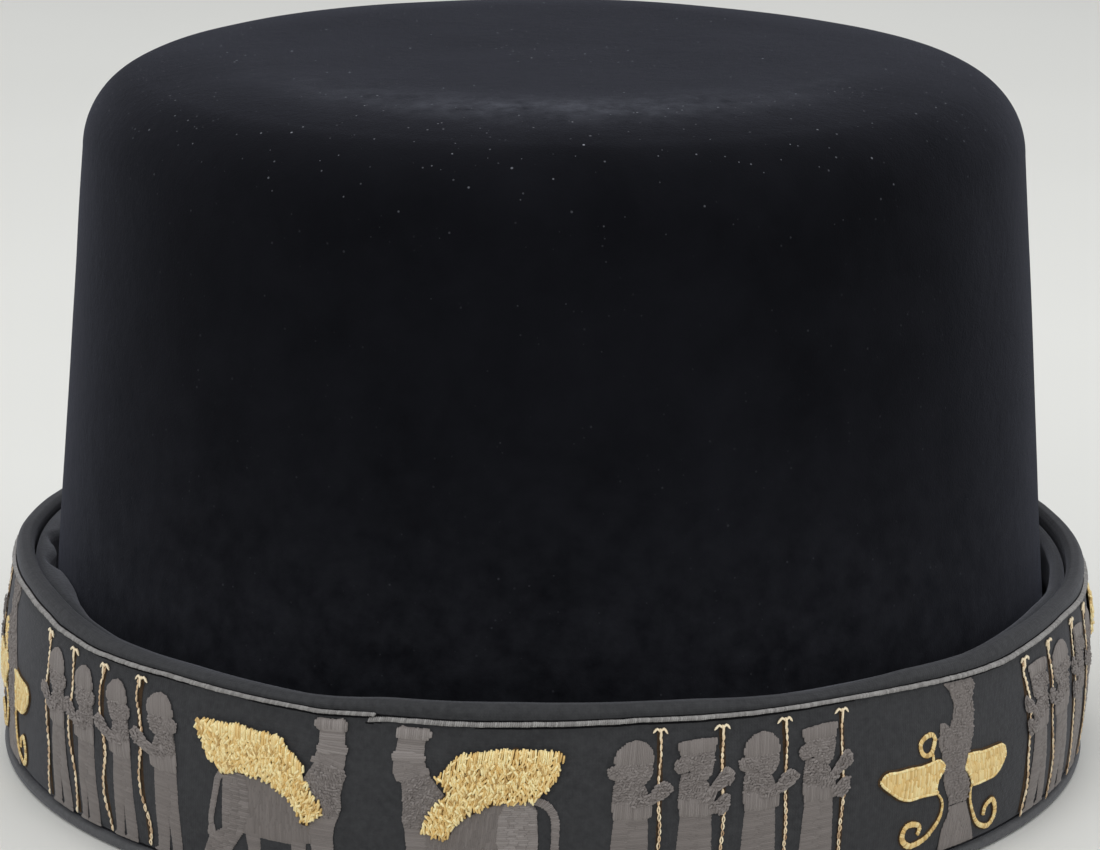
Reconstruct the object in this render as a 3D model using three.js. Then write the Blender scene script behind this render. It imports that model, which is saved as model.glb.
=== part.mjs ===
// An embroidered felt cap: a tall oval crown with a turned-up cuff.
// Millimetres, +Z up. The cap stands on its lower edge at z = 0, with its front towards -Y.
import * as THREE from 'three';

// Sizes of the felt crown
const crownHalfWidth = 90;
const crownHalfDepth = 101;
const crownHeight = 123.3;
const crownTaper = 7.4;
const shoulderRadius = 14;
const topRise = 2.8;
const topPlateau = 0.5;
const feltWall = 3;

// Sizes of the turned-up cuff
const cuffStandOffSide = 5.9;
const cuffStandOffFront = 10.2;
const cordHeight = 32;
const rimAboveCord = 2.8;
const rimLean = 0.8;
const rimTilt = 0.5;
const cuffBulge = 1.5;
const panelWall = 1.4;
const tongueWall = 0.5;
const bindingWall = 1;
const bindingInnerLeg = 6;
const facingWall = 1.2;
const ridgeThickness = 2.4;
const ridgeDepth = 8;
const weltHeight = 1.9;
const webThickness = 1.2;
const cordDiameter = 1.1;
const cordStep = 1.4;
const cordOverlap = 3;

// Sizes of the embroidery
const stitchHeight = 0.6;
const jointFromFront = 28.9;
const bearerWidth = 5.4;
const bearerReach = 3.2;
const beastLength = 26.6;
const beastFromJoint = 3.6;
const wingLength = 21.5;
const wingFromJoint = 8.7;
const emblemWidth = 7.8;
const emblemLeftWing = 14.2;
const emblemRightWing = 7.6;
const emblemWingHeight = 5.2;

// The clearance that is left between two pieces, and between layers of embroidery
const gap = 0.3;
const stitchGap = 0.6;

// How finely rings are divided
const ringSegments = 62;

// Each repeat of the frieze is mirrored about its middle, so a half repeat is the unit.
const repeats = 3;

// The figures stand a little closer at the front than at the back.
const spacing = [
  { side: -1, front: 0.93, until: 1.3 },
  { side: 1, front: 0.968, until: 1.45 },
];

// Spear bearers in each half repeat: place as a share of it
const bearerPlaces = [0.395, 0.497, 0.601, 0.702];

// A spear bearer seen from the side, from the hem up: height as a share of the band
// below the cord, back and breast as shares of the figure's half width, and reach as a share of
// how far the arm stretches to the spear.
const bearerRows = [
  { up: 0.11, back: 0.85, breast: 0.95, reach: 0 },
  { up: 0.38, back: 0.80, breast: 0.72, reach: 0 },
  { up: 0.65, back: 1.00, breast: 0.85, reach: 0.10 },
  { up: 0.77, back: 0.95, breast: 0.90, reach: 1.00 },
  { up: 0.83, back: 0.60, breast: 0.55, reach: 0 },
  { up: 0.88, back: 0.88, breast: 0.85, reach: 0 },
  { up: 0.97, back: 0.62, breast: 0.60, reach: 0 },
];

// A winged beast seen from the side, from its breast back to its tail: place as a share of
// its length, underside and back as shares of the band's height below the cord.
const beastColumns = [
  { along: 0.00, under: 0.84, over: 1.00 },
  { along: 0.06, under: 0.55, over: 1.00 },
  { along: 0.12, under: 0.13, over: 1.00 },
  { along: 0.22, under: 0.13, over: 1.00 },
  { along: 0.30, under: 0.34, over: 0.76 },
  { along: 0.60, under: 0.35, over: 0.69 },
  { along: 0.80, under: 0.13, over: 0.65 },
  { along: 0.92, under: 0.13, over: 0.60 },
  { along: 1.00, under: 0.32, over: 0.53 },
];

// The beast's gold wing, from its root at the breast to its tip
const wingColumns = [
  { along: 0.00, under: 0.42, over: 0.48 },
  { along: 0.08, under: 0.40, over: 0.65 },
  { along: 0.19, under: 0.44, over: 0.86 },
  { along: 0.33, under: 0.59, over: 0.91 },
  { along: 0.56, under: 0.68, over: 0.91 },
  { along: 0.84, under: 0.69, over: 0.90 },
  { along: 1.00, under: 0.80, over: 0.88 },
];

// The standing figure of the winged emblem, from its hem up
const emblemRows = [
  { up: 0.07, back: 1.00, breast: 1.00, reach: 0 },
  { up: 0.34, back: 0.80, breast: 0.80, reach: 0 },
  { up: 0.55, back: 0.85, breast: 0.85, reach: 0 },
  { up: 0.71, back: 0.95, breast: 0.95, reach: 0 },
  { up: 0.82, back: 0.60, breast: 0.60, reach: 0 },
  { up: 0.90, back: 0.75, breast: 0.75, reach: 0 },
  { up: 1.00, back: 0.70, breast: 0.70, reach: 0 },
];

// One wing of the emblem, from the figure to its tip: heights as shares of half the wing's
// height, measured from the wing's middle.
const emblemWingMiddle = 0.51;
const emblemWingColumns = [
  { along: 0.00, under: -0.70, over: 0.60 },
  { along: 0.30, under: -1.00, over: 0.85 },
  { along: 0.70, under: -0.80, over: 1.00 },
  { along: 1.00, under: 0.00, over: 0.60 },
];

// Soft puckers of the cuff's inner facing: place in degrees from the front, width in
// degrees, and depth as a share of the ridge's thickness.
const puckers = [
  { at: -100, width: 7, depth: -0.14 },
  { at: -88, width: 4, depth: 0.24 },
  { at: -79, width: 4, depth: 0.26 },
  { at: -64, width: 8, depth: -0.12 },
  { at: 84, width: 8, depth: -0.10 },
  { at: 112, width: 8, depth: 0.12 },
  { at: 150, width: 9, depth: -0.12 },
  { at: 196, width: 9, depth: 0.12 },
];

const colours = {
  crown: 0x16171b,
  panel: 0x3a3b3f,
  binding: 0x404145,
  cord: 0x85837f,
  facing: 0x47484d,
  welt: 0x2c2d31,
  grey: 0x7d7670,
  gold: 0xcfae66,
};

function material(colour, roughness, metalness = 0) {
  return new THREE.MeshStandardMaterial({ color: colour, roughness, metalness });
}

const clamp = THREE.MathUtils.clamp;
const lerp = THREE.MathUtils.lerp;

// The crown's outer half width at a height of its straight side
const crownTopHalfWidth = crownHalfWidth - crownTaper;
const flatTopRadius = crownTopHalfWidth - shoulderRadius;
const sideHeight = crownHeight - topRise - shoulderRadius;
const plateauRadius = topPlateau * flatTopRadius;

function crownAt(z) {
  return crownHalfWidth - crownTaper * clamp(z / sideHeight, 0, 1);
}

// The cuff's outer face, whose half width bulges between its foot and the cord
const footHalfWidth = crownHalfWidth + cuffStandOffSide;
const rimTop = cordHeight + rimAboveCord;
const panelFoot = weltHeight + gap;

function faceAt(z) {
  const up = clamp(z / cordHeight, 0, 1);
  return footHalfWidth - rimLean * up + cuffBulge * Math.sin(Math.PI * up);
}

// Depths from the outer face to the panel's inner face, to the binding's inner leg and
// to the back of the facing's ridge
const panelInside = Math.max(panelWall, bindingWall + gap + tongueWall);
const legInside = panelInside + gap;
const ridgeInside = legInside + bindingWall + gap;

// The oval plan: the half depth of a ring of half width r at a height. The crown's oval
// is longer from front to back, and the cuff's extra room at the front and back lies in
// the empty space between the crown and the facing.
const clearWidth = faceAt(rimTop) - ridgeInside - ridgeThickness - crownAt(rimTop);

function halfDepth(r, z) {
  const longer = (crownHalfDepth - crownHalfWidth) * Math.min(1, r / flatTopRadius);
  const frontRoom = cuffStandOffFront - cuffStandOffSide;
  const beyond = clamp((r - crownAt(z)) / (0.8 * clearWidth), 0, 1);
  return r + longer + frontRoom * beyond;
}

// The cuff's rim stands higher on the left than on the right.
function lift(z, angle) {
  return z - rimTilt * Math.sin(angle) * Math.max(0, z) / (cordHeight + rimAboveCord);
}

function ovalPoint(r, z, angle) {
  return new THREE.Vector3(r * Math.sin(angle), -halfDepth(r, z) * Math.cos(angle), z);
}

function cuffPoint(r, z, angle) {
  return ovalPoint(r, z, angle).setZ(lift(z, angle));
}

// A ring or shell turned from a profile of half widths and heights, then made oval.
// reshape may move a point of half width r at an angle.
function turn(profile, place, reshape = (r) => r) {
  const points = profile.map(([r, z]) => new THREE.Vector2(r, z));
  const geometry = new THREE.LatheGeometry(points, ringSegments);
  const position = geometry.attributes.position;
  const perRing = points.length;
  for (let i = 0; i < position.count; i++) {
    const angle = 2 * Math.PI * (Math.floor(i / perRing) % ringSegments) / ringSegments;
    const [r, z] = profile[i % perRing];
    const point = place(reshape(r, z, angle), z, angle);
    position.setXYZ(i, point.x, point.y, point.z);
  }
  return geometry;
}

function closed(profile) {
  return [...profile, profile[0]];
}

// The crown: a straight tapered side, a round shoulder and a top that rises softly to its
// middle, hollow below
function crownProfile() {
  const innerRadius = shoulderRadius - feltWall;
  const bend = (radius, share) => [
    flatTopRadius + radius * Math.sin(Math.PI / 2 * share),
    sideHeight + radius * Math.cos(Math.PI / 2 * share),
  ];
  const inner = [0, 0.33, 0.67, 1].map((share) => bend(innerRadius, share));
  const outer = [1, 0.75, 0.5, 0.25, 0].map((share) => bend(shoulderRadius, share));
  const foot = [[crownHalfWidth - feltWall, 0], [crownHalfWidth, 0]];
  const insideTop = crownHeight - feltWall;
  const inside = [[0, insideTop], [plateauRadius, insideTop], ...inner];
  return [...inside, ...foot, ...outer, [plateauRadius, crownHeight], [0, crownHeight]];
}

// The embroidered panel, with a thin tongue that stands inside the rim's fold
function panelProfile() {
  const tongueOuter = bindingWall + gap;
  const tongueFoot = cordHeight - gap;
  const tongueTop = rimTop - bindingWall - gap;
  const height = (share) => lerp(panelFoot, tongueFoot, share);
  const outer = [0, 0.25, 0.5, 0.75, 1].map(height).map((z) => [faceAt(z), z]);
  const innerAt = (z) => faceAt(z) - lerp(panelWall, panelInside, z / rimTop);
  const inner = [1, 0.8, 0.5, 0].map(height).map((z) => [innerAt(z), z]);
  return closed([
    ...outer,
    [faceAt(tongueFoot) - tongueOuter, tongueFoot],
    [faceAt(tongueTop) - tongueOuter, tongueTop],
    [faceAt(tongueTop) - panelInside, tongueTop],
    ...inner,
  ]);
}

// The rim's binding: a cloth strip folded over the panel's tongue and down inside
function bindingProfile() {
  const outerFoot = cordHeight + gap;
  const innerFoot = rimTop - bindingInnerLeg;
  const back = legInside + bindingWall;
  const slotTop = rimTop - bindingWall;
  const round = bindingWall;
  return closed([
    [faceAt(outerFoot) - bindingWall, outerFoot],
    [faceAt(outerFoot), outerFoot],
    [faceAt(rimTop) + 0.1 * bindingWall, rimTop - 1.3 * round],
    [faceAt(rimTop) - 0.5 * round, rimTop - 0.2 * round],
    [faceAt(rimTop) - 0.5 * back, rimTop],
    [faceAt(rimTop) - back + 0.5 * round, rimTop - 0.2 * round],
    [faceAt(rimTop) - back, rimTop - 1.3 * round],
    [faceAt(innerFoot) - back, innerFoot],
    [faceAt(innerFoot) - legInside, innerFoot],
    [faceAt(cordHeight) - legInside, cordHeight],
    [faceAt(slotTop) - legInside, slotTop],
    [faceAt(slotTop) - bindingWall, slotTop],
  ]);
}

// The soft inner facing, with a padded ridge just below the rim
function facingBack(z) {
  const leg = rimTop - bindingInnerLeg;
  return z > leg - gap ? ridgeInside : legInside;
}

function facingProfile() {
  const foot = webThickness + gap;
  const leg = rimTop - bindingInnerLeg;
  const top = rimTop - 0.5 * rimAboveCord;
  const below = leg - 2 * gap;
  const middle = lerp(foot, below, 0.5);
  const ridgeFoot = top - ridgeDepth;
  const back = (z) => faceAt(z) - facingBack(z);
  const half = 0.5 * ridgeThickness;
  return closed([
    [back(foot), foot],
    [back(middle), middle],
    [back(below), below],
    [faceAt(below) - facingBack(top), below],
    [back(top) - 0.1 * half, top - 0.6 * half],
    [back(top) - 0.7 * half, top],
    [back(top) - 1.4 * half, top - 0.2 * half],
    [back(top) - ridgeThickness, top - half],
    [back(top) - 0.95 * ridgeThickness, top - 1.8 * half],
    [back(top) - 0.5 * (ridgeThickness + facingWall), ridgeFoot],
    [back(middle) - facingWall, middle],
    [back(foot) - facingWall, foot],
  ]);
}

// How deep the facing is pressed in at an angle, as a share of the ridge's thickness
function puckerAt(angle) {
  const degrees = THREE.MathUtils.radToDeg(angle);
  let depth = 0;
  for (const { at, width, depth: share } of puckers) {
    const away = ((degrees - at + 540) % 360) - 180;
    depth += share * Math.exp(-((away / width) ** 2));
  }
  return depth;
}

function puckered(r, z, angle) {
  const ridgeFace = faceAt(z) - facingBack(rimTop) - 0.6 * ridgeThickness;
  const inRidge = r < ridgeFace && z > 0.5 * cordHeight;
  return inRidge ? r + puckerAt(angle) * ridgeThickness : r;
}

// The folded lower edge: a flat web beside the crown's foot and a rolled outer welt
function weltProfile() {
  const half = 0.5 * weltHeight;
  const middle = footHalfWidth - 0.2 * half;
  return closed([
    [crownHalfWidth + gap, 0],
    [middle, 0],
    [middle + 0.8 * half, 0.4 * half],
    [middle + half, half],
    [middle + 0.6 * half, 1.75 * half],
    [middle - 0.1 * half, weltHeight],
    [middle - 0.9 * half, 1.6 * half],
    [middle - 1.4 * half, webThickness],
    [crownHalfWidth + gap, webThickness],
  ]);
}

// The embroidered band ends just below the lower end of the cord.
const bandTop = cordHeight - 0.5 * (cordStep + cordDiameter) - gap;

// The couched cord runs once around the cuff, and its two ends pass each other by a step.
const bandHalfWidth = faceAt(0.5 * cordHeight);
const bandHalfDepth = halfDepth(bandHalfWidth, 0.5 * cordHeight);
const bandOval = new THREE.EllipseCurve(
  0, 0, bandHalfWidth, bandHalfDepth, -Math.PI / 2, 1.5 * Math.PI);
bandOval.arcLengthDivisions = 720;
const bandLength = bandOval.getLength();

// The angle around the cap of a place along the band, in millimetres from the front
function angleAlong(distance) {
  const share = distance / bandLength;
  const whole = Math.floor(share);
  return 2 * Math.PI * (whole + bandOval.getUtoTmapping(share - whole));
}

class CordLine extends THREE.Curve {
  getPoint(t, target = new THREE.Vector3()) {
    const run = bandLength + cordOverlap;
    const angle = angleAlong(-jointFromFront - 0.5 * cordOverlap + run * t);
    const z = cordHeight + cordStep * (t - 0.5);
    const r = faceAt(cordHeight) + gap + 0.5 * cordDiameter;
    return target.copy(cuffPoint(r, z, angle));
  }
}

function cordGeometry() {
  const section = new THREE.Shape();
  const sides = 6;
  for (let i = 0; i < sides; i++) {
    const angle = 2 * Math.PI * i / sides;
    const x = 0.5 * cordDiameter * Math.cos(angle);
    const y = 0.5 * cordDiameter * Math.sin(angle);
    if (i === 0) section.moveTo(x, y);
    else section.lineTo(x, y);
  }
  return new THREE.ExtrudeGeometry(section, {
    extrudePath: new CordLine(),
    steps: ringSegments + 8,
    curveSegments: 1,
  });
}

// Embroidered shapes lie on the panel's face: along it, up it and out from it.
function onPanel(along, up, out) {
  return cuffPoint(faceAt(up) + out, up, angleAlong(along));
}

// The place along the band of a share of half repeats from the cord's joint
const halfRepeat = bandLength / (2 * repeats);

function placeAlong(side, halves) {
  const { front, until } = spacing.find((row) => row.side === side);
  const near = Math.min(halves, until) * front;
  const far = Math.max(0, halves - until);
  const stretch = (repeats - until * front) / (repeats - until);
  return -jointFromFront + side * (near + far * stretch) * halfRepeat;
}

function boxShare(box, i) {
  return {
    across: box.getX(i) + 0.5,
    up: box.getY(i) + 0.5,
    out: box.getZ(i) + 0.5,
  };
}

// A flat figure with a row for each height: side is 1 where it faces along the band.
function rowFigure(rows, centre, side, halfWidth, reach) {
  const count = rows.length - 1;
  const geometry = new THREE.BoxGeometry(1, 1, 1, 2, count, 1);
  const box = geometry.attributes.position;
  for (let i = 0; i < box.count; i++) {
    const { across, up, out } = boxShare(box, i);
    const row = rows[Math.round(up * count)];
    const back = -row.back * halfWidth;
    const breast = row.breast * halfWidth + row.reach * reach;
    const from = side > 0 ? back : -breast;
    const to = side > 0 ? breast : -back;
    const along = centre + lerp(from, to, across);
    const rise = stitchGap + stitchHeight * out;
    const point = onPanel(along, row.up * bandTop, rise);
    box.setXYZ(i, point.x, point.y, point.z);
  }
  return geometry;
}

// A flat figure with a column for each place along it. heightOf turns a table value
// into a height, level says which layer of stitching it lies in, and divisions how many
// faces follow the panel's bulge.
function columnFigure(columns, start, side, length, level, divisions, heightOf) {
  const count = columns.length - 1;
  const geometry = new THREE.BoxGeometry(1, 1, 1, count, divisions, 1);
  const box = geometry.attributes.position;
  for (let i = 0; i < box.count; i++) {
    const { across, up, out } = boxShare(box, i);
    const index = Math.round(across * count);
    const column = columns[side > 0 ? index : count - index];
    const along = start + side * column.along * length;
    const height = lerp(heightOf(column.under), heightOf(column.over), up);
    const rise = stitchGap + level * (stitchHeight + stitchGap) + stitchHeight * out;
    const point = onPanel(along, height, rise);
    box.setXYZ(i, point.x, point.y, point.z);
  }
  return geometry;
}

const ofBand = (share) => share * bandTop;
const ofEmblem = (share) => emblemWingMiddle * bandTop + 0.5 * share * emblemWingHeight;

const cap = new THREE.Group();

function add(name, geometry, look) {
  const mesh = new THREE.Mesh(geometry, look);
  mesh.name = name;
  cap.add(mesh);
}

add('crown', turn(crownProfile(), ovalPoint), material(colours.crown, 0.95));
add('base_welt', turn(weltProfile(), cuffPoint), material(colours.welt, 0.9));
add('cuff_panel', turn(panelProfile(), cuffPoint), material(colours.panel, 0.85));
add('rim_binding', turn(bindingProfile(), cuffPoint), material(colours.binding, 0.85));
add('inner_facing', turn(facingProfile(), cuffPoint, puckered),
  material(colours.facing, 0.9));
add('border_cord', cordGeometry(), material(colours.cord, 0.6));

// The frieze: in each mirrored half repeat a winged beast and four spear bearers, and
// a winged emblem where two repeats meet
let bearer = 0;
let beast = 0;
for (const side of [-1, 1]) {
  for (let repeat = 0; repeat < repeats; repeat++) {
    // Half repeats run alternately away from a mirror line and towards the next one.
    const away = repeat % 2 === 0;
    const facing = away ? side : -side;
    const mirror = away ? repeat : repeat + 1;
    beast += 1;
    const beastStart = placeAlong(side, mirror) + facing * beastFromJoint;
    add(`winged_beast_${beast}`,
      columnFigure(beastColumns, beastStart, facing, beastLength, 0, 4, ofBand),
      material(colours.grey, 0.7));
    const wingStart = placeAlong(side, mirror) + facing * wingFromJoint;
    add(`gold_wing_${beast}`,
      columnFigure(wingColumns, wingStart, facing, wingLength, 1, 2, ofBand),
      material(colours.gold, 0.45, 0.3));
    for (const place of bearerPlaces) {
      bearer += 1;
      const halves = away ? repeat + place : repeat + 1 - place;
      add(`spear_bearer_${bearer}`,
        rowFigure(bearerRows, placeAlong(side, halves), facing,
          0.5 * bearerWidth, bearerReach),
        material(colours.grey, 0.7));
    }
  }
}

const emblems = [
  { side: -1, halves: 1 },
  { side: 1, halves: 1 },
  { side: 1, halves: 3 },
];
emblems.forEach(({ side, halves }, index) => {
  const centre = placeAlong(side, halves);
  const name = `emblem_${index + 1}`;
  const halfWidth = 0.5 * emblemWidth;
  const grey = material(colours.grey, 0.7);
  add(`${name}_figure`, rowFigure(emblemRows, centre, 1, halfWidth, 0), grey);
  const wings = [
    { name: 'left_wing', side: -1, length: emblemLeftWing },
    { name: 'right_wing', side: 1, length: emblemRightWing },
  ];
  for (const wing of wings) {
    const start = centre + wing.side * (halfWidth + gap);
    add(`${name}_${wing.name}`,
      columnFigure(emblemWingColumns, start, wing.side, wing.length, 0, 1, ofEmblem),
      material(colours.gold, 0.45, 0.3));
  }
});

export default cap;
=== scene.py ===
import math

import bpy
import numpy as np
from mathutils import Matrix, Vector, noise


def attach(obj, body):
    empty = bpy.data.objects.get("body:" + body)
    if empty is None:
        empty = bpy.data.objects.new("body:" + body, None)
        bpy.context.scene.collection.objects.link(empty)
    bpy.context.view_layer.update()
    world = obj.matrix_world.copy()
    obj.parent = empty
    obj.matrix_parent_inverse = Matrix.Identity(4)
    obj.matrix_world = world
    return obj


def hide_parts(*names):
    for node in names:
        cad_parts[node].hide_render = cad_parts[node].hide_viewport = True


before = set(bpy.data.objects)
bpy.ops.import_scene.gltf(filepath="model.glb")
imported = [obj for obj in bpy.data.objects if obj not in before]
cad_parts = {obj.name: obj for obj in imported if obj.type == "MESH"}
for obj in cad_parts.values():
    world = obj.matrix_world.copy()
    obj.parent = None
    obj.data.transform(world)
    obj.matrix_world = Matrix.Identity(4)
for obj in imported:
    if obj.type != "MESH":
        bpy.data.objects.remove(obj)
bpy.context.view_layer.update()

# Sizes of the cap in millimetres, the same as in the part's source
CROWN_HALF_WIDTH = 90
CROWN_HALF_DEPTH = 101
CROWN_HEIGHT = 123.3
TOP_RISE = 2.8
CROWN_TAPER = 7.4
SHOULDER = 14
FELT_WALL = 3
STAND_OFF_SIDE = 5.9
STAND_OFF_FRONT = 10.2
CORD_HEIGHT = 32
RIM_ABOVE_CORD = 2.8
RIM_LEAN = 0.8
CUFF_BULGE = 1.5
PANEL_WALL = 1.4
TONGUE_WALL = 0.5
BINDING_WALL = 1.0
BINDING_LEG = 6
FACING_WALL = 1.2
RIDGE_THICKNESS = 2.4
RIDGE_DEPTH = 8
WELT_HEIGHT = 1.9
WEB_THICKNESS = 1.2
JOINT_FROM_FRONT = 28.9
GAP = 0.3
REPEATS = 3

RIM_TOP = CORD_HEIGHT + RIM_ABOVE_CORD
SIDE_HEIGHT = CROWN_HEIGHT - TOP_RISE - SHOULDER
FLAT_TOP = CROWN_HALF_WIDTH - CROWN_TAPER - SHOULDER
FOOT_HALF_WIDTH = CROWN_HALF_WIDTH + STAND_OFF_SIDE
PANEL_INSIDE = max(PANEL_WALL, BINDING_WALL + GAP + TONGUE_WALL)
LEG_INSIDE = PANEL_INSIDE + GAP
RIDGE_INSIDE = LEG_INSIDE + BINDING_WALL + GAP

# The figures stand a little closer together at the front of each side than at its back: how
# much closer, and up to which half repeat
SPACING = {-1: (0.93, 1.3), 1: (0.968, 1.45)}

# Steps of a piece round the cap: the plain rings, the puckered facing and the crown
RING_SEGMENTS = 300
FACING_SEGMENTS = 400
CROWN_SEGMENTS = 264

rng = np.random.default_rng(58)


# Shape of the cap

def crown_at(z):
    return CROWN_HALF_WIDTH - CROWN_TAPER * np.clip(z / SIDE_HEIGHT, 0, 1)


def face_at(z):
    up = np.clip(z / CORD_HEIGHT, 0, 1)
    return FOOT_HALF_WIDTH - RIM_LEAN * up + CUFF_BULGE * np.sin(np.pi * up)


CLEAR_WIDTH = (face_at(RIM_TOP) - RIDGE_INSIDE - RIDGE_THICKNESS - crown_at(RIM_TOP))


def half_depth(r, z):
    longer = (CROWN_HALF_DEPTH - CROWN_HALF_WIDTH) * np.minimum(1, r / FLAT_TOP)
    beyond = np.clip((r - crown_at(z)) / (0.8 * CLEAR_WIDTH), 0, 1)
    return r + longer + (STAND_OFF_FRONT - STAND_OFF_SIDE) * beyond


def oval_point(r, z, angle):
    r, z, angle = np.broadcast_arrays(r, z, angle)
    return np.stack([r * np.sin(angle), -half_depth(r, z) * np.cos(angle), z], -1)


# Hand-made unevenness of the cuff: degrees from the front, then how far the cord and the
# rim lie above their even heights there, in millimetres
CUFF_WAVE = np.array([
    (-180, 0.2, 0.0), (-140, 0.8, 0.6), (-105, 1.5, 0.7), (-98, 1.7, 1.2), (-90, 1.8, 1.8),
    (-76, 1.8, 1.6), (-70, 1.9, 1.4), (-66, 1.3, 1.1), (-62.5, 0.9, 0.6), (-60.5, 0.2, 0.2),
    (-57, 0.1, -0.4), (-53, -0.3, -1.0), (-45, 0.1, -1.1), (-40, 0.4, -1.0), (-32, 0.1, -1.2),
    (-25, -0.1, -1.6), (-22, -0.3, -1.4), (-19, 0.0, -0.9), (-16, -0.1, -0.3),
    (-9, -0.2, 0.0), (-3, 0.15, 0.3), (4, 0.5, 0.25), (9, 0.8, 0.2), (14, 0.65, 0.05),
    (20, 0.65, -0.5), (27, 0.8, -0.85), (31, 0.8, -0.7), (38, 0.4, -0.2), (47, -0.4, -0.7),
    (52, -0.6, -0.3), (58, 0.0, 0.0), (67, 0.8, 0.2), (76, -0.3, 0.2), (105, -0.2, 0.0),
    (140, 0.0, 0.0), (180, 0.2, 0.0)])
wave_angles = np.radians(np.linspace(-180, 180, 1441))
wave_kernel = np.exp(-np.linspace(-2, 2, 15) ** 2)


def smooth_wave(column):
    even = np.interp(wave_angles, np.radians(CUFF_WAVE[:, 0]), CUFF_WAVE[:, column])
    looped = np.concatenate([even[-8:-1], even, even[1:8]])
    return np.convolve(looped, wave_kernel / wave_kernel.sum(), "valid")


cord_wave = smooth_wave(1)
rim_wave = smooth_wave(2)

# The cuff's foot sits this far to the left of its rim
FOOT_ASKEW = 1.1


def cuff_point(r, z, angle):
    points = oval_point(r, z, angle)
    r, z, angle = np.broadcast_arrays(r, z, angle)
    around = (angle + np.pi) % (2 * np.pi) - np.pi
    low = np.clip(z / CORD_HEIGHT, 0, 1)
    high = np.clip((z - CORD_HEIGHT) / RIM_ABOVE_CORD, 0, 1)
    points[..., 2] += np.interp(around, wave_angles, cord_wave) * low * (1 - high)
    points[..., 2] += np.interp(around, wave_angles, rim_wave) * high
    beyond = np.clip((r - crown_at(z) - 1) / 4, 0, 1)
    points[..., 0] -= FOOT_ASKEW * (1 - low) * beyond
    return points


# Places along the band, in millimetres from the front
BAND_HALF_WIDTH = face_at(0.5 * CORD_HEIGHT)
BAND_HALF_DEPTH = half_depth(BAND_HALF_WIDTH, 0.5 * CORD_HEIGHT)
turn_angles = np.linspace(-3 * np.pi, 3 * np.pi, 6001)
middles = 0.5 * (turn_angles[1:] + turn_angles[:-1])
steps = np.hypot(BAND_HALF_WIDTH * np.cos(middles), BAND_HALF_DEPTH * np.sin(middles))
turn_lengths = np.concatenate([[0], np.cumsum(steps * np.diff(turn_angles))])
turn_lengths -= np.interp(0, turn_angles, turn_lengths)
BAND_LENGTH = 2 * np.interp(np.pi, turn_angles, turn_lengths)
HALF_REPEAT = BAND_LENGTH / (2 * REPEATS)


def angle_along(distance):
    return np.interp(distance, turn_lengths, turn_angles)


def on_panel(along, up, out):
    return cuff_point(face_at(up) + out, up, angle_along(along))


def place_along(side, halves):
    front, until = SPACING[side]
    near = min(halves, until) * front
    far = max(0, halves - until)
    stretch = (REPEATS - until * front) / (REPEATS - until)
    return -JOINT_FROM_FRONT + side * (near + far * stretch) * HALF_REPEAT


# Soft unevenness of cloth and felt
def soft(points, size, seed):
    shift = Vector((seed * 7.3, seed * 3.1, seed * 5.7))
    return np.array([noise.noise(Vector(p) / size + shift) for p in points])


# Meshes

def add_mesh(name, points, faces, material, nodes, tone=None, uv=None):
    mesh = bpy.data.meshes.new(name)
    mesh.from_pydata((np.asarray(points) * 0.001).tolist(), [], faces)
    mesh.materials.append(material)
    mesh.polygons.foreach_set("use_smooth", [True] * len(mesh.polygons))
    if tone is not None:
        mesh.attributes.new("tone", "FLOAT", "POINT")
        mesh.attributes["tone"].data.foreach_set("value", np.asarray(tone, dtype=np.float32))
    if uv is not None:
        layer = mesh.uv_layers.new(name="UVMap")
        corners = np.empty(len(mesh.loops), dtype=np.int32)
        mesh.loops.foreach_get("vertex_index", corners)
        layer.data.foreach_set("uv", np.asarray(uv)[corners].astype(np.float32).ravel())
    mesh.update()
    piece = bpy.data.objects.new(name, mesh)
    bpy.context.collection.objects.link(piece)
    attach(piece, "root")
    if nodes:
        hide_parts(*nodes)
    return piece


def grid_faces(rings, around, wrap_rings, wrap_around):
    rows = np.arange(rings if wrap_rings else rings - 1)
    columns = np.arange(around if wrap_around else around - 1)
    a, b = np.meshgrid(rows, columns, indexing="ij")
    a2 = (a + 1) % rings
    b2 = (b + 1) % around
    corners = [a * around + b, a * around + b2, a2 * around + b2, a2 * around + b]
    return np.stack([c.ravel() for c in corners], -1)


def swept(profile, around):
    """A profile's half widths and heights, and their angles, all round the cap."""
    angles = np.linspace(-np.pi, np.pi, around, endpoint=False)
    r, angle = np.meshgrid(profile[:, 0], angles, indexing="ij")
    return r, np.repeat(profile[:, 1], around).reshape(r.shape), angle


def ring_piece(name, profile, material, nodes, segments=RING_SEGMENTS, shape=None):
    """A closed ring swept round the cuff from a closed profile of half widths and heights."""
    profile = np.asarray(profile, dtype=float)
    r, z, angle = swept(profile, segments)
    if shape is not None:
        r, z = shape(r, z, angle, cuff_point(r, z, angle).reshape(-1, 3))
    points = cuff_point(r, z, angle).reshape(-1, 3)
    faces = grid_faces(len(profile), segments, True, True)
    along = np.interp(angle, turn_angles, turn_lengths)
    across = np.concatenate([[0], np.cumsum(np.hypot(*np.diff(profile, axis=0).T))])
    across = np.repeat(across, segments).reshape(r.shape)
    uv = np.stack([along, across], -1).reshape(-1, 2)
    return add_mesh(name, points, faces.tolist(), material, nodes, uv=uv)


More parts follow.
